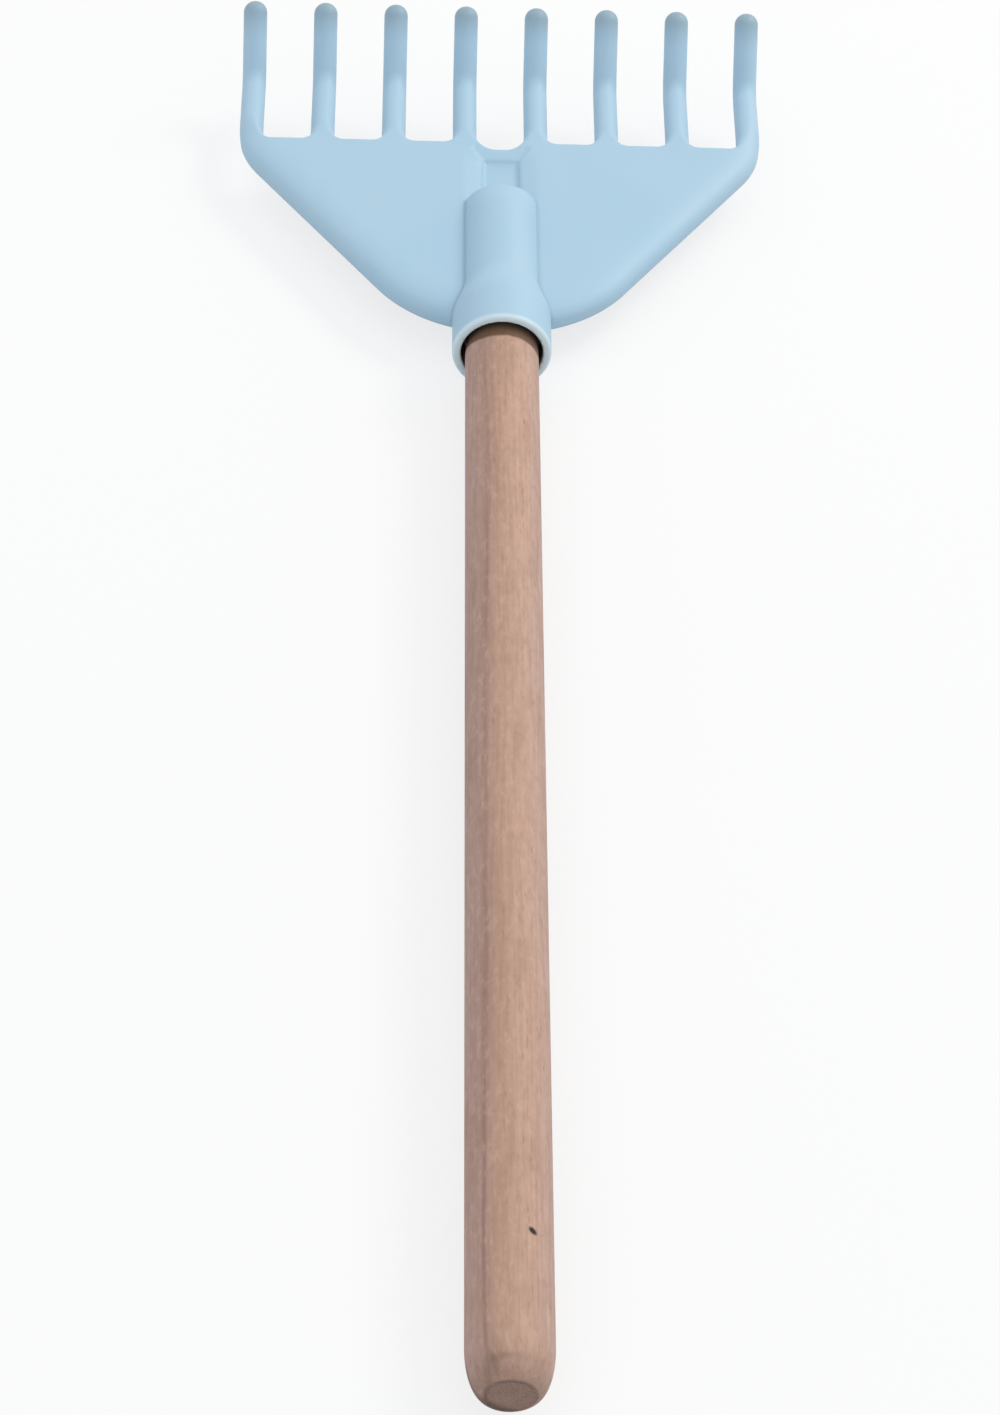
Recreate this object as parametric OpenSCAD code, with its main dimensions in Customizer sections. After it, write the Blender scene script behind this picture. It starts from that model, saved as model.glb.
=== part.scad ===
// Child's sand rake: a one-piece moulded plastic head on a round wooden handle.
// It lies on its back, with the handle along Y, the tines at the +Y end and their
// bent ends pointing up. The origin is under the middle of the whole rake, on the floor.

/* [Handle] */
// Diameter of the wooden handle
handle_d = 22; // [18:0.5:24]
// Length of the handle that shows, from its free end to the mouth of the socket
handle_reach = 370; // [250:1:900]
// Diameter of the flat on the free end
butt_flat_d = 12.6; // [8:0.2:15]
// Length along the handle of the rounding of the free end
butt_round_l = 13.5; // [6:0.5:16]
// Diameter of the tenon that fills the socket
tenon_d = 17; // [12:0.5:17.5]
// Length of the tenon
tenon_l = 48; // [36:1:50]
// Chamfer on the end of the tenon
tenon_chamfer = 1.5; // [0.5:0.1:3]
// Radius that the handle loses where it enters the mouth
lead_in = 0.5; // [0.2:0.1:1]

/* [Socket] */
// Outer diameter of the collar round the mouth
collar_d = 29.8; // [29:0.2:36]
// Diameter of the mouth, wider than the handle, which leaves a dark gap
mouth_d = 24.6; // [24.6:0.1:26]
// Depth of the mouth, down to the step that the handle's shoulder meets
mouth_l = 10; // [6:0.5:13]
// Length of the collar before it narrows
collar_l = 14; // [8:0.5:18]
// Length over which the collar narrows to the body
flare_l = 16; // [10:0.5:24]
// Outer diameter of the body of the socket
body_d = 23; // [21:0.2:28]
// Length of the socket from its mouth to its closed end
socket_l = 68.5; // [66:0.5:90]
// Rounding of the lip of the mouth
lip_r = 1.1; // [0.5:0.1:1.2]
// Rounding of the closed end
end_r = 3; // [1:0.1:4]

/* [Plate] */
// Distance from the mouth to the lower edge of the plate
plate_base = 13.6; // [10:0.2:18]
// Flat length of the lower edge, behind the collar
base_flat = 2; // [1:0.5:12]
// Radius of the lower corners, seen from above
lower_r = 45; // [36:1:50]
// Radius of the outer corners, seen from above
corner_r = 32; // [24:1:34]
// Distance from the mouth to the bottom of the slots between the tines
slot_y = 97; // [94:0.5:112]
// Height of the top of the plate above the axis of the handle
plate_top = 3.2; // [2.6:0.1:3.6]
// Depth of the rim of the plate below the axis of the handle
rim_drop = 4.2; // [4:0.1:6]
// Width of the rounding that turns the plate down to its rim
border_w = 12; // [8:0.5:14]
// Wall of the rim and of the plate over the pockets
plate_wall = 3.6; // [2.5:0.1:4.5]
// Solid width between the slots and the pockets underneath
front_wall = 5; // [3.5:0.5:8]
// Half width of the solid spine under the plate, between the pockets
spine_half_w = 13; // [12:0.5:18]

/* [Tines] */
// Number of tines
tine_count = 8; // [4:2:12]
// Distance from the centre of one tine to the next
tine_pitch = 22.45; // [20:0.05:26]
// Diameter of a tine
tine_d = 7.5; // [6:0.1:7.8]
// Length of a tine from the bottom of the slots to its bend
tine_flat_l = 26; // [12:0.5:40]
// Radius of the bend, at the middle of the tine
bend_r = 10; // [8:0.5:20]
// Angle of the bend
bend_a = 50; // [20:1:90]
// Length of a tine from its bend to the middle of its round tip
tine_up_l = 17.5; // [8:0.5:50]
// Rounding of the corners of the slots
slot_r = 3; // [1.5:0.1:5]
// Rounding of the corners of the middle slot
middle_slot_r = 6; // [3:0.1:6.5]
// How much deeper the middle slot is than the others
middle_slot_deep = 3; // [0:0.1:4]

/* [Channel between the socket and the middle slot] */
// Width of its floor
channel_w = 13; // [8:0.5:16]
// Depth below the top of the plate
channel_deep = 1.9; // [0.8:0.1:2.4]
// Width where it opens to the middle slot
channel_mouth_w = 18; // [14:0.5:20]
// Length of the shallow band beside the middle slot
band_l = 6.5; // [4:0.5:10]
// Depth of that band below the top of the plate
band_deep = 1.4; // [0.4:0.1:1.6]

/* [Fixing screw] */
// Distance from the mouth to the screw
screw_y = 42; // [38:0.5:50]
// Diameter of the head
screw_head_d = 6.6; // [5:0.1:7.5]
// Height of the straight edge of the head
screw_edge_h = 0.4; // [0.2:0.1:0.6]
// Outer diameter of the thread
screw_d = 3.4; // [3:0.1:4]
// Diameter of the core between the threads
screw_core_d = 2.3; // [1.8:0.1:2.6]
// Length of the screw, head and all
screw_l = 12; // [10:0.5:16]
// Distance from one thread to the next
screw_pitch = 1.3; // [1:0.1:1.8]
// Length of the point
screw_point_l = 1.6; // [1:0.1:2.4]
// Width of each wing of the cross recess
recess_w = 0.8; // [0.5:0.1:1.2]
// Length of each wing of the cross recess, from tip to tip
recess_l = 3.6; // [2.5:0.1:4.4]
// Depth of the cross recess
recess_deep = 1.2; // [0.8:0.1:1.5]
// How far the head sits below the surface of the socket
screw_sink = 0.2; // [0.1:0.05:0.5]

/* [Clearances] */
// Radial clearance between the tenon and the socket
tenon_clear = 0.1; // [0.05:0.05:0.3]
// Radial clearance round the screw
screw_clear = 0.05; // [0.05:0.05:0.3]
// Space between the end of the tenon and the bottom of the socket's bore
tenon_end_clear = 0.9; // [0.5:0.1:2]

/* [Hidden] */
$fn = 64;
// Points on a quarter of a rounding
round_steps = 8;
// Overrun of every cut
over = 1;
// How far a tine's finger of plate is wider than the tine, on each side
finger_extra = 0.3;
// How far a tine starts inside its finger
root_embed = 1;
// The bend is a hair thicker than the straight lengths, which end just inside it
bend_swell = 0.05;
bend_embed = 0.2;
// Length of the handle's taper that stays outside the mouth
lead_out = 1;

axis_h = collar_d / 2;
bend_y = slot_y + tine_flat_l;
tine_end_y = bend_y + bend_r * sin(bend_a) + tine_up_l * cos(bend_a) + tine_d / 2;
rake_l = handle_reach + tine_end_y;
mouth_y = handle_reach - rake_l / 2;
half_w = (tine_count - 1) * tine_pitch / 2 + tine_d / 2;
slot_w = tine_pitch - tine_d - 2 * finger_extra;
front_y = slot_y + slot_r;
// The outer corner begins a little way along the outer tine
corner_lead = slot_r * 5 / 3;
body_r = body_d / 2;
shoulder_y = mouth_l;
bore_d = tenon_d + 2 * tenon_clear;
bore_end = shoulder_y + tenon_l + tenon_end_clear;
pocket_top = plate_top - plate_wall;
screw_hole_d = screw_d + 2 * screw_clear;
head_cone_h = (screw_head_d - screw_d) / 2;
screw_head_z = screw_sink - body_r;
// Steps of the rounded border: the share of its width, and of its height, at each level
border_w_shares = [0, 0, 0.03, 0.13, 0.29, 0.5, 0.74, 1];
border_h_shares = [0, 0.3, 0.55, 0.74, 0.87, 0.95, 0.99, 1];

// Points on an arc round [x, y], from angle a to angle b
function arc(x, y, r, a, b) =
    [for (i = [0:round_steps]) let (t = a + (b - a) * i / round_steps) [x + r * cos(t), y + r * sin(t)]];

// Half of the plate's outline, pulled in by inset from all but the front edge, where the corner is cut off
lower_c = [base_flat / 2, plate_base + lower_r];
corner_c = [half_w - corner_r, front_y + corner_lead];
centres = corner_c - lower_c;
side_normal = atan2(centres[1], centres[0]) - acos((lower_r - corner_r) / norm(centres));
function half_outline(inset) =
    concat(arc(lower_c[0], lower_c[1], lower_r - inset, -90, side_normal),
        arc(corner_c[0], corner_c[1], corner_r - inset, side_normal, -asin(corner_lead / (corner_r - inset))));

function mirrored(points) = [for (i = [len(points) - 1:-1:0]) [-points[i][0], points[i][1]]];

function outline(inset) = concat(half_outline(inset), mirrored(half_outline(inset)));

// Turns a shape made along Z to lie along the handle, with its zero at the mouth
module from_mouth() {
    translate([0, mouth_y, axis_h]) rotate([-90, 0, 0]) children();
}

// Puts a shape drawn round the mouth, with X across, Y along and Z up, in its place
module at_mouth() {
    translate([0, mouth_y, axis_h]) children();
}

// A dome of the plate's outline whose border is rounded from bottom to top
module plate_dome(inset, bottom, top) {
    rings = [for (i = [0:len(border_w_shares) - 1])
        [for (p = outline(inset + border_w * border_w_shares[i]))
            [p[0], p[1], bottom + (top - bottom) * border_h_shares[i]]]];
    n = len(rings[0]);
    levels = len(rings);
    sides = [for (k = [0:levels - 2], i = [0:n - 1])
        let (a = k * n + i, b = k * n + (i + 1) % n)
        each [[a, a + n, b], [b, a + n, b + n]]];
    floor_face = [for (i = [0:n - 1]) i];
    top_face = [for (i = [n - 1:-1:0]) (levels - 1) * n + i];
    polyhedron([for (ring = rings) each ring], concat([floor_face], sides, [top_face]));
}

// One slot of the comb, with rounded inner corners
module slot_shape(r, depth) {
    reach = front_y - slot_y + depth + over;
    translate([-slot_w / 2, r]) square([slot_w, reach - r]);
    translate([r - slot_w / 2, 0]) square([slot_w - 2 * r, r + over]);
    for (side = [-1, 1])
        translate([side * (slot_w / 2 - r), r]) circle(r = r);
}

module slots() {
    for (i = [1:tine_count - 1]) {
        middle = i == tine_count / 2;
        depth = middle ? middle_slot_deep : 0;
        translate([(i - tine_count / 2) * tine_pitch, slot_y - depth, -rim_drop - over])
            linear_extrude(rim_drop + plate_top + 2 * over)
                slot_shape(middle ? middle_slot_r : slot_r, depth);
    }
}

// The hollow underside, on each side of the spine
module pockets() {
    difference() {
        plate_dome(plate_wall, -rim_drop - over, pocket_top);
        translate([-spine_half_w, 0, -rim_drop - 2 * over])
            cube([2 * spine_half_w, slot_y, rim_drop + plate_top + 2 * over]);
        translate([-half_w, slot_y - front_wall, -rim_drop - 2 * over])
            cube([2 * half_w, front_wall + slot_r + over, rim_drop + plate_top + 2 * over]);
    }
}

// The sunk channel from the end of the socket to the middle slot, and the shallow band beside the slot
module channel() {
    channel_end = slot_y - middle_slot_deep - band_l;
    translate([-channel_w / 2, socket_l - end_r, plate_top - channel_deep])
        cube([channel_w, channel_end - socket_l + end_r, channel_deep + over]);
    translate([0, channel_end, plate_top - band_deep])
        linear_extrude(band_deep + over)
            polygon([
                [-channel_w / 2, 0], [channel_w / 2, 0],
                [channel_mouth_w / 2, band_l], [channel_mouth_w / 2, band_l + slot_r],
                [-channel_mouth_w / 2, band_l + slot_r], [-channel_mouth_w / 2, band_l]]);
}

module plate() {
    difference() {
        plate_dome(0, -rim_drop, plate_top);
        pockets();
        slots();
        channel();
    }
}

// Outer shape of the socket: lip, collar, flare, body and rounded closed end
module socket_shell() {
    lip = arc(axis_h - lip_r, lip_r, lip_r, -90, 0);
    flare = [for (i = [0:2 * round_steps])
        let (t = i / (2 * round_steps))
        [body_r + (axis_h - body_r) * (1 + cos(180 * t)) / 2, collar_l + flare_l * t]];
    closed_end = arc(body_r - end_r, socket_l - end_r, end_r, 0, 90);
    rotate_extrude() polygon(concat([[0, 0]], lip, flare, closed_end, [[0, socket_l]]));
}

// The mouth with its rounded inner lip, and the bore for the tenon
module socket_bores() {
    inner_lip = [for (i = [0:round_steps])
        let (t = 90 * i / round_steps)
        [mouth_d / 2 + lip_r * (1 - sin(t)), lip_r * (1 - cos(t))]];
    rotate_extrude() polygon(concat([[0, -over], [mouth_d / 2 + lip_r, -over]], inner_lip,
        [[mouth_d / 2, mouth_l], [0, mouth_l]]));
    translate([0, 0, mouth_l - over]) cylinder(d = bore_d, h = bore_end - mouth_l + over);
}

// Hole with countersink for the screw, from underneath
module screw_hole() {
    sunk_h = screw_sink + screw_edge_h;
    translate([0, screw_y, -body_r - over]) {
        cylinder(d = screw_hole_d, h = body_r + over);
        cylinder(d = screw_head_d + 2 * screw_clear, h = over + sunk_h);
        translate([0, 0, over + sunk_h])
            cylinder(d1 = screw_head_d + 2 * screw_clear, d2 = screw_hole_d, h = head_cone_h);
    }
}

// A round tine that lies in the plate's plane, bends upwards and ends in a round tip
module tine() {
    translate([0, front_y - root_embed, 0]) rotate([-90, 0, 0])
        cylinder(d = tine_d, h = bend_y + bend_embed - front_y + root_embed);
    translate([0, bend_y, bend_r]) rotate([0, 90, 0]) {
        rotate_extrude(angle = bend_a) translate([bend_r, 0]) circle(d = tine_d + 2 * bend_swell);
        rotate([0, 0, bend_a]) translate([bend_r, 0, 0]) rotate([-90, 0, 0]) {
            translate([0, 0, -bend_embed]) cylinder(d = tine_d, h = tine_up_l + bend_embed);
            translate([0, 0, tine_up_l]) sphere(d = tine_d);
        }
    }
}

module rake_head() {
    color([0.68, 0.81, 0.89])
        difference() {
            union() {
                at_mouth() plate();
                at_mouth()
                    for (i = [0:tine_count - 1])
                        translate([(i - (tine_count - 1) / 2) * tine_pitch, 0, 0]) tine();
                from_mouth() socket_shell();
            }
            from_mouth() socket_bores();
            at_mouth() screw_hole();
        }
}

module handle() {
    handle_r = handle_d / 2;
    tenon_r = tenon_d / 2;
    flat_r = butt_flat_d / 2;
    tenon_end = shoulder_y + tenon_l;
    butt = [for (i = [0:round_steps])
        let (t = 90 * i / round_steps)
        [flat_r + (handle_r - flat_r) * sin(t), butt_round_l * (1 - cos(t)) - handle_reach]];
    color([0.75, 0.6, 0.52])
        difference() {
            from_mouth() rotate_extrude() polygon(concat([[0, -handle_reach]], butt, [
                [handle_r, -lead_out],
                [handle_r - lead_in, shoulder_y],
                [tenon_r, shoulder_y],
                [tenon_r, tenon_end - tenon_chamfer],
                [tenon_r - tenon_chamfer, tenon_end],
                [0, tenon_end]]));
            at_mouth() translate([0, screw_y, -tenon_r - over])
                cylinder(d = screw_hole_d, h = screw_head_z + screw_l + screw_clear + tenon_r + over);
        }
}

// Countersunk wood screw, driven from underneath, head down
module fixing_screw() {
    head_r = screw_head_d / 2;
    core_r = screw_core_d / 2;
    thread_r = screw_d / 2;
    shank_z = screw_edge_h + head_r - core_r;
    thread_l = screw_l - shank_z - screw_point_l;
    threads = floor(thread_l / screw_pitch);
    ridges = [for (i = [0:threads - 1])
        each [[core_r, shank_z + i * screw_pitch + screw_pitch * 0.25],
            [thread_r, shank_z + i * screw_pitch + screw_pitch * 0.6],
            [core_r, shank_z + i * screw_pitch + screw_pitch * 0.95]]];
    color([0.78, 0.79, 0.8])
        at_mouth() translate([0, screw_y, screw_head_z])
            difference() {
                rotate_extrude() polygon(concat(
                    [[0, 0], [head_r, 0], [head_r, screw_edge_h], [core_r, shank_z]],
                    ridges,
                    [[core_r, screw_l - screw_point_l], [0, screw_l]]));
                for (turn = [0, 90])
                    rotate([0, 0, turn])
                        translate([-recess_l / 2, -recess_w / 2, -over])
                            cube([recess_l, recess_w, recess_deep + over]);
            }
}

rake_head();
handle();
fixing_screw();
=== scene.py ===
import math

import bpy
import numpy as np
import openvdb
from mathutils import Matrix, Vector


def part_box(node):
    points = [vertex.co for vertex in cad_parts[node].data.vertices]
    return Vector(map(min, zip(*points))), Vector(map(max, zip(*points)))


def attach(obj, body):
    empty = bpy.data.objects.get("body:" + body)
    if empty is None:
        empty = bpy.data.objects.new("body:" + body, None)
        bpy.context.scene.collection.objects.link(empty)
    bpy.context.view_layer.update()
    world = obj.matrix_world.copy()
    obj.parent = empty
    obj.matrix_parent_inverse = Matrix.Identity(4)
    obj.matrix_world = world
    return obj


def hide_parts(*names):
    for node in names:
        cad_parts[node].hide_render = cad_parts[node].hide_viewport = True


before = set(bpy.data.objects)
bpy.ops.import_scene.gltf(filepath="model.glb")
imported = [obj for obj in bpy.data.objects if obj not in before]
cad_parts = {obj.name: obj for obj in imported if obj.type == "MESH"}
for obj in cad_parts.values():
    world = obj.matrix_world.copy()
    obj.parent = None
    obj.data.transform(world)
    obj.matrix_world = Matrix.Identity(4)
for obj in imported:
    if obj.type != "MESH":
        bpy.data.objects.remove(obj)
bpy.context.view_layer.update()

# A sand rake that lies on its back, with its tines up. Sizes are in millimetres. X is across, Y runs
# along the handle from the mouth of the socket towards the tines, and Z is up from the handle's axis.
# The main sizes are those of the CAD source.

# The handle has a flat butt with a rounding behind it. Its shaft thins by LEAD_IN from LEAD_START to
# the shoulder in the mouth, where its tenon begins
AXIS_H = 14.9
HANDLE_R = 11.0
HANDLE_REACH = 370.0
BUTT_FLAT_R = 6.3
BUTT_ROUND_L = 13.5
LEAD_START = -1.0
LEAD_IN = 0.5
SHOULDER_Y = 10.0
SHOULDER_EDGE = 0.3
TENON_R = 8.5
TENON_L = 48.0
TENON_END = SHOULDER_Y + TENON_L
TENON_EDGE = 1.5

# The socket, whose collar is as thick as the axis is high, so that it lies on the floor
COLLAR_L = 14.0
FLARE_L = 16.0
BODY_R = 11.5
SOCKET_L = 68.5
MOUTH_R = 12.3
LIP_R = 1.1
INNER_LIP_R = 0.6
END_R = 2.2
BORE_R = TENON_R + 0.1
BORE_END = TENON_END + 0.9
DROOP = 1.3
DROOP_START = SOCKET_L - 10.5

# The hole for the screw, from underneath
SCREW_Y = 42.0
SCREW_HOLE_R = 1.75
SCREW_HEAD_R = 3.35
SCREW_HEAD_DEEP = 0.6

# The tines and the slots between them, of which the middle one is deeper and rounder
PITCH = 22.45
TINE_R = 3.75
TINE_COUNT = 8
SLOT_Y = 97.0
SLOT_R = 3.0
MIDDLE_SLOT_Y = SLOT_Y - 3.0
MIDDLE_SLOT_R = 6.0
TINE_FLAT_L = 26.0
BEND_Y = SLOT_Y + TINE_FLAT_L
BEND_R = 10.0
BEND_A = math.radians(50)
TINE_UP = 17.5
TIP_R = 3.7

# The plate's outline
BASE_FLAT_HALF = 1.0
PLATE_BASE = 13.6
LOWER_R = 45.0
CORNER_R = 32.0
CORNER_Y = SLOT_Y + 8.0
HALF_W = (TINE_COUNT - 1) / 2 * PITCH + TINE_R

# The plate's top, rim and border, and the hollows under it
TOP_Z = 3.2
RIM_Z = -4.2
BORDER_W = 12.0
BORDER_POWER = 2.5
BORDER_FOOT_SHARE = 0.3
RIM_R = 0.8
SLOT_EDGE_R = 1.0
WALL = 3.6
SPINE_HALF = 13.0
POCKET_END = SLOT_Y - 5.0
POCKET_R = 1.2

# The plate turns into tines between these places, and its front edge is round a little sooner
TINES_FROM, TINES_FULL = SLOT_Y, SLOT_Y + 11.0
EDGE_FROM, EDGE_FULL = SLOT_Y - 0.5, SLOT_Y + 7.0

# The channel from the socket's end to the middle slot: its floor climbs over a ramp, a step and a
# run-out, its walls lean outwards, and its end splays
CHANNEL_DEEP = 3.0
CHANNEL_START, CHANNEL_END = SOCKET_L - 8.5, SLOT_Y + 0.5
CHANNEL_HALF = 5.1
CHANNEL_END_R = 2.0
CHANNEL_FOOT_R = 0.9
WALL_LEAN = 0.7
WALL_SLOPE_SHARE = 0.82
RAMP_START, RAMP_END, RAMP_RISE = SLOT_Y - 13.0, SLOT_Y - 1.0, 2.1
STEP_Y, STEP_END, STEP_RISE = SLOT_Y - 8.6, SLOT_Y - 7.4, 0.5
RUN_OUT_START, RUN_OUT_END, RUN_OUT_RISE = SLOT_Y - 3.5, SLOT_Y + 1.0, 1.0
SPLAY, SPLAY_L = 3.5, 4.8

# The plate's top dips beside the channel, within DIP_HALF of the middle
DIP_HALF = 12.5
DIP_BLEND = 2.0
DIP_SLOPE = 0.25
DIP_REACH = 6.5
DIP_START, DIP_FULL = SOCKET_L - 6.5, SOCKET_L - 0.5
DIP_FADE, DIP_END = SLOT_Y - 12.0, SLOT_Y - 1.0

# Roundings where the forms of the head meet
FOOT_R = 0.7
CHANNEL_EDGE_R = 0.6
POCKET_EDGE_R = 0.4

# The painted shade in the corners: the distances at which the surface is felt for, with the weight of each,
# and the strength and width of the painted shade line where the socket rises from the plate
CREASE_REACHES = ((0.8, 0.55), (1.6, 0.35), (4.0, 0.1))
FOOT_LINE_SHADE = 0.45
FOOT_LINE_W = 1.2

# The head's mesh: its grid, the box round its right half, how far from the surface the field is
# kept, how much flat places are thinned out, how often its points are drawn onto the surface, and
# the distances over which slopes are measured
GRID_STEP = 0.4
HEAD_LOW = (0, -1.6, -16.2)
HEAD_HIGH = (83.6, 147.0, 22.2)
FIELD_REACH = 3.0
THINNING = 0.015
DRAW_PASSES = 3
DRAW_REACH = 0.02
NORMAL_REACH = 0.05

# The handle's mesh
ROUND_STEPS = 24
SHAFT_STEPS = 119
LEAD_STEPS = 11
HANDLE_SIDES = 128

# The camera, at the photograph's viewing angle, with its place in millimetres round the mouth
CAMERA_PLACE = (-34.024, -913.031, 808.395)
CAMERA_FORWARD = (0.029345, 0.688128, -0.724996)
CAMERA_UP = (-0.020762, 0.725571, 0.687834)
CAMERA_LENS = 103.386
CAMERA_SENSOR = 36.0

# The studio, in metres and watts
FLOOR_HALF = 6.0
SKY_COLOUR = (0.965, 1.0, 1.035)
SKY_STRENGTH = 0.75
KEY_PLACE = (1.45, 1.25, 1.6)
KEY_TARGET = (0, 0.05, 0)
KEY_SIZE = 1.0
KEY_POWER = 19.0
KEY_COLOUR = (1.0, 0.945, 0.85)

# The mouth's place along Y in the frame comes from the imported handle
MOUTH_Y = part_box("handle")[0].y * 1000 + HANDLE_REACH


def to_frame(points):
    """Millimetres round the mouth to metres in the frame."""
    out = np.array(points, float)
    out[:, 1] += MOUTH_Y
    out[:, 2] += AXIS_H
    return out / 1000


def at_y(y):
    """A distance from the mouth in millimetres as a place along Y, in metres in the frame."""
    return (MOUTH_Y + y) / 1000


def from_butt(y):
    """A distance from the handle's free end in millimetres as a place along Y, in metres."""
    return at_y(y - HANDLE_REACH)


def at_z(z):
    """A height over the handle's axis in millimetres as a height in metres in the frame."""
    return (AXIS_H + z) / 1000


# Distance functions: negative inside, all in millimetres. They take the right half only, so ax is
# the distance from the middle

def round_max(a, b, r):
    """Intersection with its edge rounded to radius r."""
    return np.minimum(np.maximum(a, b), -r) + np.hypot(np.maximum(a + r, 0), np.maximum(b + r, 0))


def round_min(a, b, r):
    """Union with its corner filled to radius r."""
    return -round_max(-a, -b, r)


def ease(v, low, high):
    """Rises smoothly from 0 at low to 1 at high."""
    t = np.clip((v - low) / (high - low), 0, 1)
    return t * t * (3 - 2 * t)


def blend(a, b, share):
    """From a, where the share is 0, to b, where it is 1."""
    return a + (b - a) * share


# The centres of the outline's two arcs, and the way that the straight side between them faces
LOWER_C = (BASE_FLAT_HALF, PLATE_BASE + LOWER_R)
CORNER_C = (HALF_W - CORNER_R, CORNER_Y)
BETWEEN = (CORNER_C[0] - LOWER_C[0], CORNER_C[1] - LOWER_C[1])
SIDE_NORMAL = math.atan2(BETWEEN[1], BETWEEN[0]) - math.acos((LOWER_R - CORNER_R) / math.hypot(*BETWEEN))


def inset(ax, y):
    """How far a point lies inside the plate's outline, which is open at the front."""
    nx, ny = math.cos(SIDE_NORMAL), math.sin(SIDE_NORMAL)
    x1, y1 = ax - LOWER_C[0], y - LOWER_C[1]
    x2, y2 = ax - CORNER_C[0], y - CORNER_C[1]
    along1 = -ny * x1 + nx * y1
    along2 = -ny * x2 + nx * y2
    side = LOWER_R - (nx * x1 + ny * y1)
    lower = np.where(ax < BASE_FLAT_HALF, y - PLATE_BASE, LOWER_R - np.hypot(x1, y1))
    corner = np.where(y < CORNER_Y, CORNER_R - np.hypot(x2, y2), HALF_W - ax)
    return np.where(along2 > 0, corner, np.where(along1 < 0, lower, side))


def dome(w, z, width, base, height, power):
    """A solid whose wall turns inwards above base, over a superellipse of this width and height. A
    point lies w inside its outline."""
    a = np.maximum((width - w) / width, 0)
    b = np.maximum((z - base) / height, 0)
    total = np.maximum(a ** power + b ** power, 1e-9)
    g = total ** (1 / power)
    slope = total ** (1 / power - 1) * np.hypot(a ** (power - 1) / width, b ** (power - 1) / height)
    # Near the middle the slope fades out, so the depth there is held to a plain value
    deepest = -np.minimum(np.abs(w) + 0.5, 8)
    return np.maximum((g - 1) / np.maximum(slope, 1e-3), deepest)


def border_rise(low, high):
    """Where a border between two heights begins to turn inwards, and how far it rises from there."""
    foot = BORDER_FOOT_SHARE * (high - low)
    return low + foot, high - low - foot


def nearest_tine(ax):
    """The number of the nearest tine, from 0 at the middle, and how far across from it a point is."""
    number = np.clip(np.round(ax / PITCH - 0.5), 0, TINE_COUNT / 2 - 1)
    return number, ax - (number + 0.5) * PITCH


def comb(ax, y):
    """The plate's front edge with its slots, seen from above."""
    middle = ax < PITCH / 2
    edge = y - np.where(middle, MIDDLE_SLOT_Y, SLOT_Y)
    r = np.where(middle, MIDDLE_SLOT_R, SLOT_R)
    number, across = nearest_tine(ax)
    last = number == TINE_COUNT / 2 - 1
    finger = np.where(last & (across > 0), -across, np.abs(across)) - TINE_R
    return round_min(edge, finger, r)


def bent_tine(ax, y, z):
    """The end of the nearest tine: an arc, then a straight upright with a round tip."""
    across = nearest_tine(ax)[1]
    cy, cz = y - BEND_Y, z - BEND_R
    turn = np.clip(np.arctan2(cz, cy) + math.pi / 2, 0, BEND_A)
    ay, az = cy - BEND_R * np.sin(turn), cz + BEND_R * np.cos(turn)
    arc = np.sqrt(ay ** 2 + az ** 2 + across ** 2) - TINE_R
    cos_a, sin_a = math.cos(BEND_A), math.sin(BEND_A)
    ey, ez = cy - BEND_R * sin_a, cz + BEND_R * cos_a
    along = ey * cos_a + ez * sin_a
    upright = round_max(np.hypot(ez * cos_a - ey * sin_a, across) - TINE_R, along - TINE_UP - TIP_R, TIP_R)
    # The upright begins a little inside the arc, so that the two overlap
    return np.minimum(arc, np.maximum(upright, -along - 0.5))


def plate_and_tines(ax, y, z):
    """The plate, whose section turns into round tines in front of the slots."""
    share = ease(y, TINES_FROM, TINES_FULL)
    base, height = border_rise(RIM_Z, TOP_Z)
    base, height = blend(base, 0, share), blend(height, TINE_R, share)
    width, power = blend(BORDER_W, TINE_R, share), blend(BORDER_POWER, 2, share)
    body = dome(inset(ax, y), z, width, base, height, power)
    body = round_max(body, blend(RIM_Z, -TINE_R, share) - z, blend(RIM_R, TINE_R, share))
    body = round_max(body, comb(ax, y), blend(SLOT_EDGE_R, TINE_R, ease(y, EDGE_FROM, EDGE_FULL)))
    return np.where(y > BEND_Y, bent_tine(ax, y, z), body)


def pockets(ax, y, z):
    """The hollows under the plate, which are open below."""
    base, height = border_rise(RIM_Z - 1, TOP_Z - WALL)
    hollow = dome(inset(ax, y) - WALL, z, BORDER_W, base, height, BORDER_POWER)
    hollow = round_max(hollow, SPINE_HALF - ax, POCKET_R)
    return round_max(hollow, y - POCKET_END, POCKET_R)


def dip(ax, y):
    """How far the plate's top dips beside the channel."""
    inside = DIP_HALF - ax
    soft = np.maximum(inside, 0) ** 2 / (2 * DIP_BLEND)
    fall = np.minimum(np.where(inside > DIP_BLEND, inside - DIP_BLEND / 2, soft), DIP_REACH)
    return DIP_SLOPE * fall * ease(y, DIP_START, DIP_FULL) * (1 - ease(y, DIP_FADE, DIP_END))


def channel(ax, y, z):
    """The sunk way from the socket's end to the middle slot."""
    floor_z = TOP_Z - CHANNEL_DEEP + RAMP_RISE * ease(y, RAMP_START, RAMP_END)
    floor_z = floor_z + STEP_RISE * ease(y, STEP_Y, STEP_END)
    floor_z = floor_z + RUN_OUT_RISE * ease(y, RUN_OUT_START, RUN_OUT_END)
    half = CHANNEL_HALF + SPLAY * np.clip((y - STEP_Y) / SPLAY_L, 0, 1)
    wall = (ax - half - WALL_LEAN * (z - floor_z)) * WALL_SLOPE_SHARE
    sides = round_max(wall, y - CHANNEL_END, CHANNEL_END_R)
    return round_max(np.maximum(floor_z - z, CHANNEL_START - y), sides, CHANNEL_FOOT_R)


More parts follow.
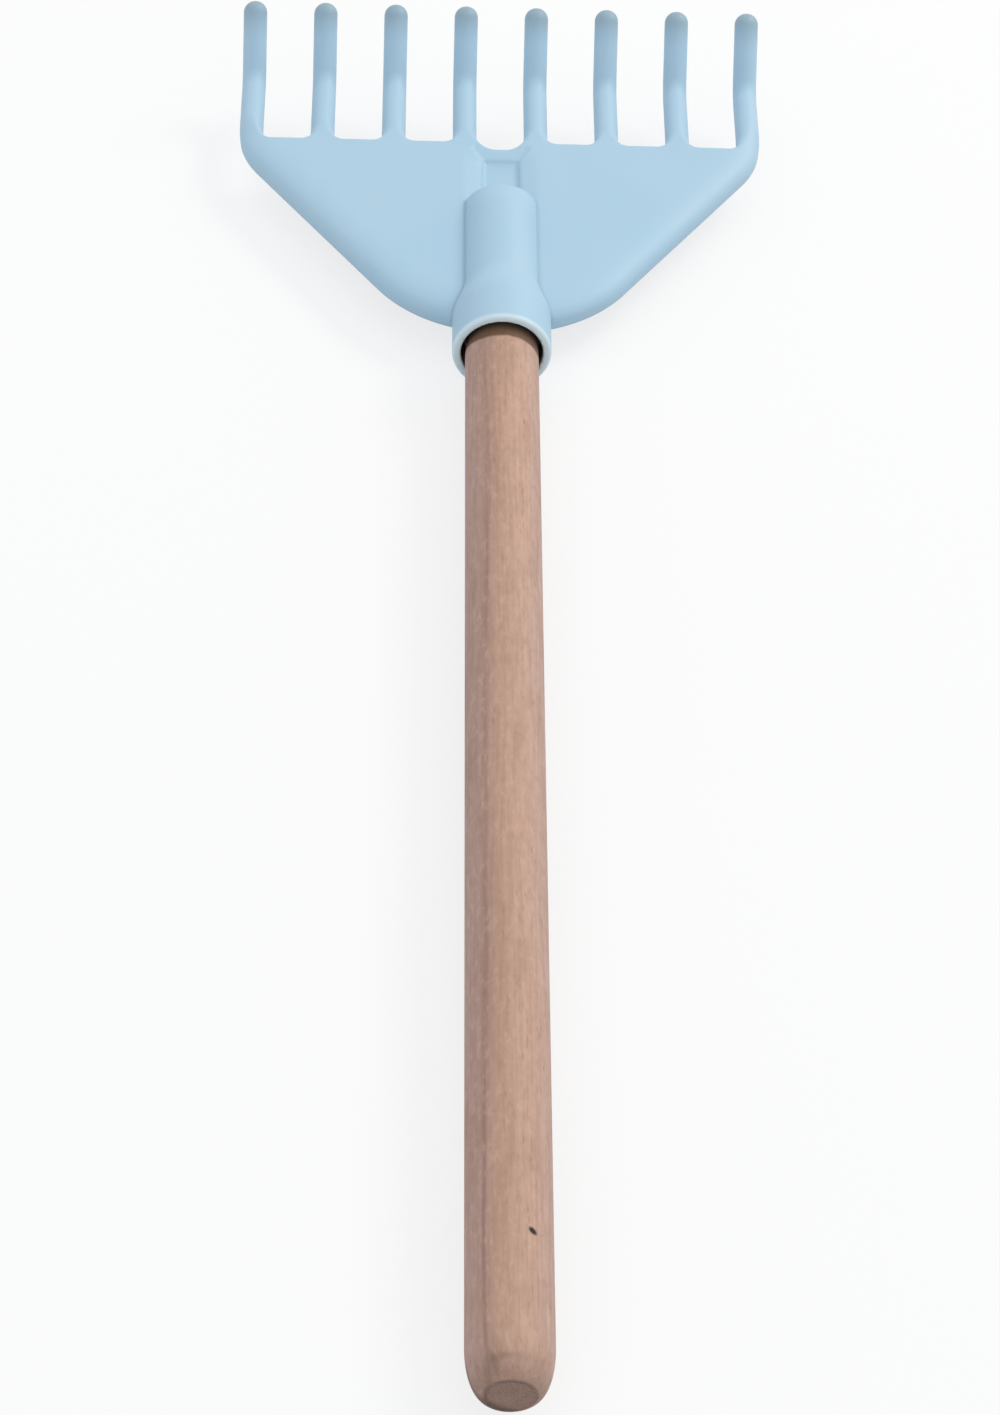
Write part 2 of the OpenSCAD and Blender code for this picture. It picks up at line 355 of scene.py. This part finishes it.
def socket(ax, y, z):
    """The outside of the socket, with its collar, its flare and a top that droops towards the end."""
    r = np.hypot(ax, z)
    t = np.clip((y - COLLAR_L) / FLARE_L, 0, 1)
    outer_r = BODY_R + (AXIS_H - BODY_R) * (1 + np.cos(math.pi * t)) / 2
    upward = np.clip(z / np.maximum(r, 1e-6), 0, 1)
    outer_r = outer_r - DROOP * ease(y, DROOP_START, SOCKET_L) * upward ** 2
    slope = (AXIS_H - BODY_R) * math.pi / 2 / FLARE_L * np.sin(math.pi * t)
    side = round_max((r - outer_r) / np.sqrt(1 + slope ** 2), -y, LIP_R)
    return round_max(side, y - SOCKET_L, END_R)


def bores(ax, y, z):
    """The mouth, which opens outwards over a rounded lip, the bore behind it and the screw's hole."""
    r = np.hypot(ax, z)
    lip = INNER_LIP_R - np.sqrt(np.maximum(INNER_LIP_R ** 2 - np.maximum(INNER_LIP_R - y, 0) ** 2, 0))
    mouth = np.maximum(r - MOUTH_R - lip, y - SHOULDER_Y)
    bore = np.maximum(r - BORE_R, y - BORE_END)
    from_screw = np.hypot(ax, y - SCREW_Y)
    countersink = from_screw - SCREW_HEAD_R + np.maximum(z + BODY_R - SCREW_HEAD_DEEP, 0)
    hole = np.maximum(np.minimum(countersink, from_screw - SCREW_HOLE_R), z)
    return np.minimum(np.minimum(mouth, bore), hole)


def plate(ax, y, z):
    """The plate and the tines, with the pockets, the channel and the dip beside it."""
    # The underside doesn't dip
    on_top = np.clip((z + 1) / 3, 0, 1)
    raised = z + dip(ax, y) * on_top
    body = round_max(plate_and_tines(ax, y, raised), -pockets(ax, y, z), POCKET_EDGE_R)
    return round_max(body, -channel(ax, y, z), CHANNEL_EDGE_R)


def head(p):
    """The whole head, the same on both sides of the middle."""
    ax, y, z = np.abs(p[0]), p[1], p[2]
    body = round_min(plate(ax, y, z), socket(ax, y, z), FOOT_R)
    return np.maximum(body, -bores(ax, y, z))


def foot_line(p):
    """1 on the line where the socket rises from the plate, falling to 0 a little way off, for the painted
    shade along it.
    """
    ax, y, z = np.abs(p[0]), p[1], p[2]
    return np.clip(1 - np.hypot(plate(ax, y, z), socket(ax, y, z)) / FOOT_LINE_W, 0, 1)


# Meshes

def in_scene(name, data):
    """An object with this data, linked to the scene."""
    obj = bpy.data.objects.new(name, data)
    bpy.context.scene.collection.objects.link(obj)
    return obj


def mesh_object(name, points, faces, material, normals=None):
    """A smooth object from points in millimetres round the mouth."""
    mesh = bpy.data.meshes.new(name)
    mesh.from_pydata(to_frame(points).tolist(), [], faces)
    mesh.update()
    mesh.materials.append(material)
    mesh.polygons.foreach_set("use_smooth", [True] * len(mesh.polygons))
    if normals is not None:
        mesh.normals_split_custom_set_from_vertices(normals.tolist())
    return in_scene(name, mesh)


def slope_at(field, points, reach):
    """The field's slope along X, Y and Z at each point, measured over this reach."""
    return np.stack([(field((points + d).T) - field((points - d).T)) / (2 * reach)
                     for d in np.eye(3) * reach], axis=1)


def draw_to_zero(field, points, step):
    """Moves each point along the slope towards the field's zero, where that brings it nearer."""
    value = field(points.T)
    for _ in range(DRAW_PASSES):
        slope = slope_at(field, points, DRAW_REACH)
        move = -(value / np.maximum((slope ** 2).sum(1), 0.25))[:, None] * slope
        length = np.linalg.norm(move, axis=1, keepdims=True)
        # No point moves by more than half a grid step at a time
        trial = points + move * np.minimum(1, 0.5 * step / np.maximum(length, 1e-9))
        there = field(trial.T)
        nearer = np.abs(there) < np.abs(value)
        points = np.where(nearer[:, None], trial, points)
        value = np.where(nearer, there, value)
    return points


def solid_from_field(field, low, high, step):
    """Points, faces and normals of a field that is the same on both sides of the middle."""
    half_count = int(math.ceil(high[0] / step))
    xs = np.arange(-half_count, half_count + 1) * step
    ys = np.arange(low[1], high[1] + step, step)
    zs = np.arange(low[2], high[2] + step, step)
    half = field(np.meshgrid(xs[half_count:], ys, zs, indexing="ij")).astype(np.float32)
    full = np.concatenate([half[:0:-1], half], axis=0)
    grid = openvdb.FloatGrid(FIELD_REACH)
    grid.copyFromArray(np.ascontiguousarray(np.clip(full, -FIELD_REACH, FIELD_REACH)))
    corners, triangles, quads = grid.convertToPolygons(isovalue=0.0, adaptivity=THINNING)
    points = np.array(corners, float) * step + np.array([xs[0], ys[0], zs[0]])
    points = draw_to_zero(field, points, step)
    normals = slope_at(field, points, NORMAL_REACH)
    normals /= np.maximum(np.linalg.norm(normals, axis=1, keepdims=True), 1e-9)
    faces = [face[::-1] for face in np.array(triangles, int).tolist() + np.array(quads, int).tolist()]
    # The faces have to look the same way as the normals
    a, b, c = (points[[face[k] for face in faces]] for k in range(3))
    agreement = np.einsum("ij,ij->i", np.cross(b - a, c - a), normals[[face[0] for face in faces]])
    if agreement.sum() < 0:
        faces = [face[::-1] for face in faces]
    return points, faces, normals


def creases(field, points, normals):
    """For each point, from 0 in the open to 1 deep in a corner, for the painted shade in the corners."""
    total = np.zeros(len(points))
    for reach, weight in CREASE_REACHES:
        total += weight * np.clip(1 - field((points + normals * reach).T) / (0.9 * reach), 0, 1)
    return total


def lathe(profile, sides):
    """A closed solid turned round the handle's axis from (radius, y) pairs, its ends on the axis."""
    points, faces = [], []
    for r, y in profile[1:-1]:
        for i in range(sides):
            t = 2 * math.pi * i / sides
            points.append((r * math.cos(t), y, r * math.sin(t)))
    rings = len(profile) - 2
    for k in range(rings - 1):
        for i in range(sides):
            j = (i + 1) % sides
            faces.append((k * sides + i, k * sides + j, (k + 1) * sides + j, (k + 1) * sides + i))
    first, last = len(points), len(points) + 1
    points += [(0, profile[0][1], 0), (0, profile[-1][1], 0)]
    base = (rings - 1) * sides
    for i in range(sides):
        j = (i + 1) % sides
        faces.append((first, j, i))
        faces.append((last, base + i, base + j))
    return points, faces


def handle_profile():
    """The handle's (radius, y) pairs from the middle of its butt to the middle of its tenon's end."""
    butt = -HANDLE_REACH
    shaft = butt + BUTT_ROUND_L
    # Rings on the flat, on the rounding, along the shaft, along the lead-in and round the tenon
    profile = [(r, butt) for r in (0, 2, 4.5, BUTT_FLAT_R - 0.25)]
    for i in range(ROUND_STEPS + 1):
        t = math.pi / 2 * i / ROUND_STEPS
        profile.append((blend(BUTT_FLAT_R, HANDLE_R, math.sin(t)), butt + BUTT_ROUND_L * (1 - math.cos(t))))
    for i in range(1, SHAFT_STEPS):
        profile.append((HANDLE_R, blend(shaft, LEAD_START, i / SHAFT_STEPS)))
    edge_r, edge_y = HANDLE_R - LEAD_IN, SHOULDER_Y - SHOULDER_EDGE
    for i in range(LEAD_STEPS + 1):
        share = i / LEAD_STEPS
        profile.append((blend(HANDLE_R, edge_r, share), blend(LEAD_START, edge_y, share)))
    profile += [(edge_r - SHOULDER_EDGE, SHOULDER_Y), (TENON_R, SHOULDER_Y)]
    profile += [(TENON_R, TENON_END - TENON_EDGE), (TENON_R - TENON_EDGE, TENON_END), (0, TENON_END)]
    return profile


# Materials

class Nodes:
    """A short way to write the nodes of a material or of the world."""

    def __init__(self, owner, output="ShaderNodeOutputMaterial"):
        owner.use_nodes = True
        self.owner = owner
        self.tree = owner.node_tree
        self.tree.nodes.clear()
        self.out = self.tree.nodes.new(output)
        self.coords = None

    def add(self, kind, inputs=None, **settings):
        """A new node, whose inputs are given as values or as sockets to link from."""
        node = self.tree.nodes.new(kind)
        for key, value in settings.items():
            setattr(node, key, value)
        for key, value in (inputs or {}).items():
            if isinstance(value, bpy.types.NodeSocket):
                self.tree.links.new(value, node.inputs[key])
            else:
                node.inputs[key].default_value = value
        return node

    def here(self):
        """The point's place in the frame, in metres."""
        if self.coords is None:
            self.coords = self.add("ShaderNodeTexCoord")
        return self.coords.outputs["Object"]

    def axes(self):
        """The point's X, Y and Z."""
        parts = self.add("ShaderNodeSeparateXYZ", {"Vector": self.here()})
        return parts.outputs["X"], parts.outputs["Y"], parts.outputs["Z"]

    def place(self, scale, offset=(0, 0, 0)):
        """The point's place, scaled and moved."""
        return self.add("ShaderNodeMapping", {
            "Vector": self.here(), "Scale": scale, "Location": offset}).outputs["Vector"]

    def noise(self, vector, scale, detail=3.0, roughness=0.5, distortion=0.0):
        return self.add("ShaderNodeTexNoise", {
            "Vector": vector, "Scale": scale, "Detail": detail, "Roughness": roughness,
            "Distortion": distortion}).outputs["Fac"]

    def ramp(self, value, *stops):
        """A colour ramp of (place, colour) stops, where a number stands for a grey."""
        node = self.add("ShaderNodeValToRGB", {"Fac": value})
        elements = node.color_ramp.elements
        while len(elements) < len(stops):
            elements.new(0.5)
        for element, (place, colour) in zip(elements, stops):
            element.position = place
            element.color = (*colour, 1) if isinstance(colour, tuple) else (colour, colour, colour, 1)
        return node.outputs["Color"]

    def span(self, value, a, b, most=1.0):
        """Rises smoothly from 0 where the value is a to most where it is b."""
        return self.add("ShaderNodeMapRange", {"Value": value, "From Min": a, "From Max": b, "To Max": most},
                        interpolation_type="SMOOTHSTEP").outputs[0]

    def spread(self, noise, low, high):
        """A noise, most of which lies between 0.3 and 0.7, as a value between low and high."""
        return self.add("ShaderNodeMapRange", {
            "Value": noise, "From Min": 0.3, "From Max": 0.7, "To Min": low, "To Max": high}).outputs[0]

    def math(self, operation, a, b=0.0, c=0.0):
        return self.add("ShaderNodeMath", {0: a, 1: b, 2: c}, operation=operation).outputs[0]

    def times(self, a, b):
        return self.math("MULTIPLY", a, b)

    def vector(self, operation, a, b, c=(0, 0, 0)):
        return self.add("ShaderNodeVectorMath", {0: a, 1: b, 2: c}, operation=operation).outputs["Vector"]

    def measure(self, operation, a, b):
        """A vector operation whose answer is a number."""
        return self.add("ShaderNodeVectorMath", {0: a, 1: b}, operation=operation).outputs["Value"]

    def mix(self, factor, a, b):
        """From colour a, where the factor is 0, to colour b, where it is 1."""
        node = self.add("ShaderNodeMix", data_type="RGBA")
        for socket_index, value in ((0, factor), (6, a), (7, b)):
            if isinstance(value, bpy.types.NodeSocket):
                self.tree.links.new(value, node.inputs[socket_index])
            else:
                node.inputs[socket_index].default_value = value if socket_index == 0 else (*value, 1)
        return node.outputs[2]

    def bump(self, height, strength, distance, normal=None):
        inputs = {"Height": height, "Strength": strength, "Distance": distance}
        if normal is not None:
            inputs["Normal"] = normal
        return self.add("ShaderNodeBump", inputs).outputs["Normal"]

    def from_axis(self, x, z):
        """The distance from the handle's axis, in metres."""
        flat = self.add("ShaderNodeCombineXYZ", {"X": x, "Z": z}).outputs[0]
        return self.measure("DISTANCE", flat, (0, 0, at_z(0)))

    def seen(self):
        """1 for what the lens, a reflection or a clear body sees, 0 for light on its way to the object."""
        path = self.add("ShaderNodeLightPath")
        direct = self.math("MAXIMUM", path.outputs["Is Camera Ray"], path.outputs["Is Glossy Ray"])
        return self.math("MAXIMUM", direct, path.outputs["Is Transmission Ray"])

    def finish(self, shader):
        """Links the last shader to the output and returns the material or world."""
        self.tree.links.new(shader.outputs[0], self.out.inputs["Surface"])
        return self.owner

    def surface(self, **inputs):
        """Ends the material with a shader of these inputs."""
        named = {key.replace("_", " "): value for key, value in inputs.items()}
        return self.finish(self.add("ShaderNodeBsdfPrincipled", named))


def srgb(r, g, b):
    """A colour of 0 to 255 as the linear values that a shader takes."""
    def line(v):
        v /= 255
        return v / 12.92 if v <= 0.04045 else ((v + 0.055) / 1.055) ** 2.4
    return line(r), line(g), line(b)


def tip_shade(n, flow):
    """Painted shade that grows along the uprights towards the tips."""
    upright = Vector((0, math.cos(BEND_A), math.sin(BEND_A)))
    bend_end = (0, BEND_Y + BEND_R * upright.z, BEND_R * (1 - upright.y))
    tip = Vector(to_frame([bend_end])[0]) + upright * (TINE_UP + TINE_R) / 1000
    top = tip.dot(upright)
    reach = n.math("MULTIPLY_ADD", flow, 0.003, n.measure("DOT_PRODUCT", n.here(), upright))
    return n.span(reach, top - 0.0115, top + 0.003, 0.9)


def mouth_shade(n, x, y, z):
    """Painted shade on the wall of the mouth."""
    inside = n.span(n.from_axis(x, z), (MOUTH_R + 0.35) / 1000, (MOUTH_R + 0.1) / 1000)
    behind_lip = n.times(inside, n.span(y, at_y(0.5), at_y(1.8), 0.95))
    return n.times(behind_lip, n.math("LESS_THAN", y, at_y(SHOULDER_Y + 1)))


def plastic():
    """Satin light-blue plastic with faint flow marks, painted shade on the tips, a painted highlight on the
    lip, and painted shade in the creases and in the mouth.
    """
    n = Nodes(bpy.data.materials.new("head_plastic"))
    x, y, z = n.axes()
    broad = n.noise(n.here(), 35.0, 2.0)
    flow = n.noise(n.place((1, 0.35, 1)), 140.0, 3.0)
    fine = n.noise(n.here(), 2600.0, 2.0)
    blue, paler_blue, flow_blue = srgb(175, 209, 231), srgb(180, 211, 231), srgb(184, 214, 233)
    painted_tip_shade, painted_lip_highlight = srgb(147, 171, 185), srgb(228, 248, 255)
    painted_crease_shade, painted_bore_shade = srgb(98, 128, 143), srgb(140, 122, 101)
    colour = n.mix(n.ramp(broad, (0.3, 0.0), (0.7, 1.0)), blue, paler_blue)
    colour = n.mix(n.ramp(flow, (0.4, 0.0), (0.75, 0.35)), colour, flow_blue)
    # Painted shade that greys the uprights towards the tips
    colour = n.mix(tip_shade(n, flow), colour, painted_tip_shade)
    # Painted highlight: a pale rim on the lip round the mouth
    colour = n.mix(n.span(y, at_y(2.0), at_y(0.1), 0.95), colour, painted_lip_highlight)
    # Painted shade: a dark grey-blue in the corners and along the socket's foot, as the crease attribute
    # says
    crease_shade = n.add("ShaderNodeAttribute", attribute_name="crease_shade").outputs["Fac"]
    colour = n.mix(n.ramp(crease_shade, (0.08, 0.0), (0.6, 0.7)), colour, painted_crease_shade)
    # Painted shade on the bore's wall behind the lip
    colour = n.mix(mouth_shade(n, x, y, z), colour, painted_bore_shade)
    fine_bump = n.bump(fine, strength=0.12, distance=0.00004)
    normal = n.bump(broad, strength=0.25, distance=0.0003, normal=fine_bump)
    return n.surface(Base_Color=colour, Roughness=n.spread(flow, 0.48, 0.56), Normal=normal, IOR=1.5)


def growth_layers_and_side_light(n, x):
    """Beech whose growth layers stand on edge, so their lines run the length of the handle, with partly
    painted light that makes its right side lighter than its left.
    """
    line_brown = srgb(134, 98, 88)
    drift = n.noise(n.place((1, 0.07, 1)), 75.0, 2.0)
    wobble = n.noise(n.place((1, 0.12, 1)), 450.0, 3.0)
    layer = n.math("MULTIPLY_ADD", x, 1000 / (2 * HANDLE_R), 0.36)
    layer = n.math("MULTIPLY_ADD", drift, 0.28, layer)
    layer = n.math("MULTIPLY_ADD", n.math("SUBTRACT", wobble, 0.5), 0.07, layer)
    # The colours from the handle's left side to its right, lighter on the right as partly painted light
    colour = n.ramp(
        layer, (0.0, srgb(188, 156, 145)), (0.2, srgb(187, 152, 139)), (0.3, srgb(188, 152, 136)),
        (0.38, srgb(193, 154, 132)), (0.55, srgb(199, 161, 140)), (0.72, srgb(203, 165, 144)),
        (0.86, srgb(201, 166, 150)), (1.0, srgb(195, 165, 154)))
    dark_line = n.ramp(layer, (0.2, 0.0), (0.25, 1.0), (0.3, 0.0))
    broken = n.ramp(n.noise(n.place((1, 0.05, 1), (5, 0, 0)), 260.0, 2.0), (0.36, 0.1), (0.6, 0.6))
    return n.mix(n.times(dark_line, broken), colour, line_brown)


def mottled(n, colour, fibre):
    """The colour with dark fibres, light and dark mottling and soft clouds."""
    fibre_brown, cloud_brown = srgb(158, 120, 104), srgb(160, 122, 104)
    pale_brown, deep_brown = srgb(218, 182, 160), srgb(166, 129, 110)
    mottle = n.noise(n.place((1, 0.4, 1)), 620.0, 3.0, roughness=0.6, distortion=0.4)
    cloud = n.noise(n.place((1, 0.3, 1), (0, 2, 0)), 130.0, 2.0)
    colour = n.mix(n.ramp(fibre, (0.34, 0.28), (0.56, 0.0)), colour, fibre_brown)
    colour = n.mix(n.ramp(mottle, (0.52, 0.0), (0.7, 0.4)), colour, pale_brown)
    colour = n.mix(n.ramp(mottle, (0.3, 0.32), (0.46, 0.0)), colour, deep_brown)
    return n.mix(n.ramp(cloud, (0.34, 0.22), (0.5, 0.0)), colour, cloud_brown)


def flecks(n):
    """Short dark flecks that lie in patches."""
    cells = n.add("ShaderNodeTexVoronoi", {"Vector": n.place((1, 0.22, 1)), "Scale": 800.0},
                  feature="F1").outputs["Distance"]
    patch = n.ramp(n.noise(n.place((1, 0.1, 1), (3, 1, 2)), 420.0, 2.0), (0.52, 0.0), (0.62, 1.0))
    return n.times(n.ramp(cells, (0.12, 1.0), (0.28, 0.0)), patch)


def mark(n, z, spot, half, turn, tone, ragged=0.0):
    """A mark on the handle's top: the spot where it is, its half sizes across and along, how far it
    is turned, how strong it is and by how many millimetres its edge is ragged."""
    offset = n.vector("SUBTRACT", n.here(), tuple(to_frame([spot])[0]))
    if ragged:
        edge = n.add("ShaderNodeTexNoise", {"Vector": n.here(), "Scale": 700.0, "Detail": 3.0})
        shift = n.vector("SUBTRACT", edge.outputs["Color"], (0.5, 0.5, 0.5))
        offset = n.vector("MULTIPLY_ADD", shift, (ragged / 1000,) * 3, offset)
    cos_t, sin_t = math.cos(turn), math.sin(turn)
    across = n.measure("DOT_PRODUCT", offset, (cos_t * 1000 / half[0], sin_t * 1000 / half[0], 0))
    along = n.measure("DOT_PRODUCT", offset, (-sin_t * 1000 / half[1], cos_t * 1000 / half[1], 0))
    near = n.math("SQRT", n.math("MULTIPLY_ADD", across, across, n.times(along, along)))
    # A mark with a clean edge is solid to half its size, and the others fade from the middle on
    core = 0.0 if ragged else 0.5
    shade = n.times(n.ramp(near, (core, 1.0), (1.0, 0.0)), tone)
    return n.times(shade, n.span(z, at_z(0), at_z(3)))


def butt_shades(n, colour, x, y, z):
    """The free end: end grain, a broken dark ring on its flat and painted shade at its lower left."""
    deep_grain, light_grain, soft_grain = srgb(120, 93, 81), srgb(158, 130, 117), srgb(168, 134, 122)
    ring_brown, painted_under_shade = srgb(88, 66, 56), srgb(86, 68, 58)
    pores = n.noise(n.place((1, 0.3, 1)), 1500.0, 5.0, roughness=0.7)
    blotch = n.noise(n.here(), 260.0, 3.0, roughness=0.6, distortion=0.6)
    end_grain = n.mix(n.ramp(pores, (0.35, 0.0), (0.65, 1.0)), deep_grain, light_grain)
    end_grain = n.mix(n.ramp(blotch, (0.35, 0.0), (0.65, 0.45)), end_grain, soft_grain)
    colour = n.mix(n.span(y, from_butt(9), from_butt(0), 0.45), colour, end_grain)
    colour = n.mix(n.span(y, from_butt(0.14), from_butt(0.02)), colour, end_grain)
    radius = n.math("MULTIPLY_ADD", blotch, 0.0016, n.from_axis(x, z))
    # The ramp runs from the axis to 10 mm off it
    ring = n.ramp(n.times(radius, 1000 / 10), (0.6, 0.0), (0.69, 0.75), (0.74, 0.0))
    ring = n.times(ring, n.span(y, from_butt(0.6), from_butt(0.1)))
    ring = n.times(ring, n.ramp(blotch, (0.42, 0.15), (0.56, 0.9)))
    colour = n.mix(ring, colour, ring_brown)
    # Painted shade at the lower left of the free end
    low_left = n.math("MULTIPLY_ADD", x, 0.6, z)
    under = n.times(n.span(low_left, at_z(-3.5), at_z(-7.5), 0.82), n.span(y, from_butt(12), from_butt(5)))
    return n.mix(under, colour, painted_under_shade)


def mouth_painted_shadow(n, colour, x, y):
    """Painted shadow: a brown band where the handle enters the head, as the collar casts it, narrower at the
    left, and painted shade on the wood inside.
    """
    painted_shadow_brown, painted_inside_shade = srgb(101, 71, 49), srgb(92, 76, 60)
    # From 4 mm left of the middle on, the band begins later and later
    left = n.math("MAXIMUM", n.math("MULTIPLY_ADD", x, -1.0, -0.004), 0.0)
    lag = n.times(n.times(left, left), 57.0)
    wavy = n.math("MULTIPLY_ADD", n.noise(n.here(), 500.0, 2.0), 0.0008, y)
    edge = n.math("SUBTRACT", wavy, lag)
    colour = n.mix(n.span(edge, at_y(-4.2), at_y(-3.0), 0.94), colour, painted_shadow_brown)
    return n.mix(n.span(y, at_y(-1.0), at_y(0.1), 0.96), colour, painted_inside_shade)


def wood():
    """Bare sanded beech with a small knot, stains near the free end, a painted shadow at the mouth and
    painted shade under the free end.
    """
    n = Nodes(bpy.data.materials.new("handle_wood"))
    x, y, z = n.axes()
    fleck_brown, knot_brown = srgb(140, 105, 88), srgb(24, 17, 12)
    check_brown, stain_brown = srgb(104, 78, 68), srgb(112, 84, 74)
    fibre = n.noise(n.place((1, 0.035, 1)), 1000.0, 5.0, roughness=0.55)
    fleck = flecks(n)
    # Growth layers, with painted light that makes the handle's right side lighter than its left
    colour = mottled(n, growth_layers_and_side_light(n, x), fibre)
    colour = n.mix(n.times(fleck, 0.35), colour, fleck_brown)
    knot = mark(n, z, spot=(5.35, -329.0, 9.6), half=(1.05, 1.55), turn=0.72, tone=1.0)
    check = mark(n, z, spot=(-4.2, -366.0, 9.0), half=(1.1, 4.2), turn=0.3, tone=0.6, ragged=1.2)
    stain = mark(n, z, spot=(-1.0, -365.2, 9.3), half=(8.0, 1.4), turn=0.0, tone=0.35, ragged=2.0)
    colour = n.mix(knot, colour, knot_brown)
    colour = n.mix(check, colour, check_brown)
    colour = n.mix(stain, colour, stain_brown)
    # Painted shadow of the collar on the handle, and painted shade inside the mouth
    colour = mouth_painted_shadow(n, colour, x, y)
    colour = butt_shades(n, colour, x, y, z)
    height = n.math("MULTIPLY_ADD", fleck, -0.4, fibre)
    normal = n.bump(height, strength=0.3, distance=0.0001)
    return n.surface(Base_Color=colour, Roughness=n.spread(fibre, 0.72, 0.58), Normal=normal, IOR=1.45)


def steel():
    """Brushed zinc-plated steel."""
    n = Nodes(bpy.data.materials.new("screw_steel"))
    brush = n.noise(n.here(), 1500.0, 4.0)
    dull_grey, bright_grey = srgb(188, 189, 190), srgb(214, 214, 212)
    colour = n.mix(brush, dull_grey, bright_grey)
    normal = n.bump(brush, strength=0.2, distance=0.00005)
    return n.surface(Base_Color=colour, Metallic=1.0, Roughness=n.spread(brush, 0.24, 0.4), Normal=normal)


def paper():
    """The floor: nearly white where it is seen, with the object's shadow on it, and greyer for the
    light that it throws back up."""
    n = Nodes(bpy.data.materials.new("floor"))
    seen = n.seen()
    grey, white, whiter = (0.7, 0.7, 0.7), (0.96, 0.96, 0.96), (0.98, 0.98, 0.98)
    sheet = n.mix(n.noise(n.here(), 3.0, 2.0), white, whiter)
    matte = n.add("ShaderNodeBsdfDiffuse", {"Color": n.mix(seen, grey, sheet)})
    glow = n.add("ShaderNodeEmission", {"Color": (1, 1, 1, 1), "Strength": 1.0})
    both = {0: n.times(seen, 0.75), 1: matte.outputs[0], 2: glow.outputs[0]}
    return n.finish(n.add("ShaderNodeMixShader", both))


def studio():
    """A soft sky that lights the object, and plain white where it is seen."""
    n = Nodes(bpy.data.worlds.new("studio"), "ShaderNodeOutputWorld")
    sky = n.add("ShaderNodeBackground", {"Color": (*SKY_COLOUR, 1), "Strength": SKY_STRENGTH})
    white = n.add("ShaderNodeBackground", {"Color": (1, 1, 1, 1), "Strength": 1.0})
    return n.finish(n.add("ShaderNodeMixShader", {0: n.seen(), 1: sky.outputs[0], 2: white.outputs[0]}))


# The camera, the floor and the light

def camera_object():
    """The camera, placed and turned as its named values say."""
    data = bpy.data.cameras.new("camera")
    data.lens = CAMERA_LENS
    data.sensor_width = CAMERA_SENSOR
    data.clip_start, data.clip_end = 0.05, 50.0
    obj = in_scene("camera", data)
    forward = Vector(CAMERA_FORWARD).normalized()
    right = forward.cross(Vector(CAMERA_UP)).normalized()
    up = right.cross(forward)
    turn = Matrix((right, up, -forward)).transposed()
    obj.matrix_world = Matrix.Translation(Vector(to_frame([CAMERA_PLACE])[0])) @ turn.to_4x4()
    return obj


def floor_object():
    """A large square sheet under the rake."""
    mesh = bpy.data.meshes.new("floor")
    corners = [(x * FLOOR_HALF, y * FLOOR_HALF, 0) for x, y in ((-1, -1), (1, -1), (1, 1), (-1, 1))]
    mesh.from_pydata(corners, [], [(0, 1, 2, 3)])
    mesh.materials.append(paper())
    return in_scene("floor", mesh)


def key_lamp():
    """A warm round lamp from behind on the right, for the shade that the photograph shows."""
    data = bpy.data.lights.new("key", "AREA")
    data.shape = "DISK"
    data.size = KEY_SIZE
    data.energy = KEY_POWER
    data.color = KEY_COLOUR
    obj = in_scene("key", data)
    obj.location = KEY_PLACE
    obj.rotation_mode = "QUATERNION"
    obj.rotation_quaternion = (Vector(KEY_TARGET) - Vector(KEY_PLACE)).to_track_quat("-Z", "Y")


bpy.context.scene.camera = camera_object()

# The head

points, faces, normals = solid_from_field(head, HEAD_LOW, HEAD_HIGH, GRID_STEP)
rake_head = mesh_object("rake_head_moulding", points, faces, plastic(), normals)
# Painted shade: how deep each point lies in a corner or on the socket's foot, kept for the plastic's colour
shade = np.maximum(creases(head, points, normals), FOOT_LINE_SHADE * foot_line(points.T))
crease_shade = rake_head.data.attributes.new("crease_shade", "FLOAT", "POINT")
crease_shade.data.foreach_set("value", shade.astype(np.float32))
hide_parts("rake_head")
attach(rake_head, "root")

# The handle

points, faces = lathe(handle_profile(), HANDLE_SIDES)
handle = mesh_object("handle_dowel", points, faces, wood())
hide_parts("handle")
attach(handle, "root")

# The screw keeps its CAD shape

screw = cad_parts["fixing_screw"]
screw.data.materials.clear()
screw.data.materials.append(steel())

# The floor and the light

floor = floor_object()
bpy.context.scene.world = studio()
key_lamp()
bpy.context.scene.view_settings.view_transform = "Standard"
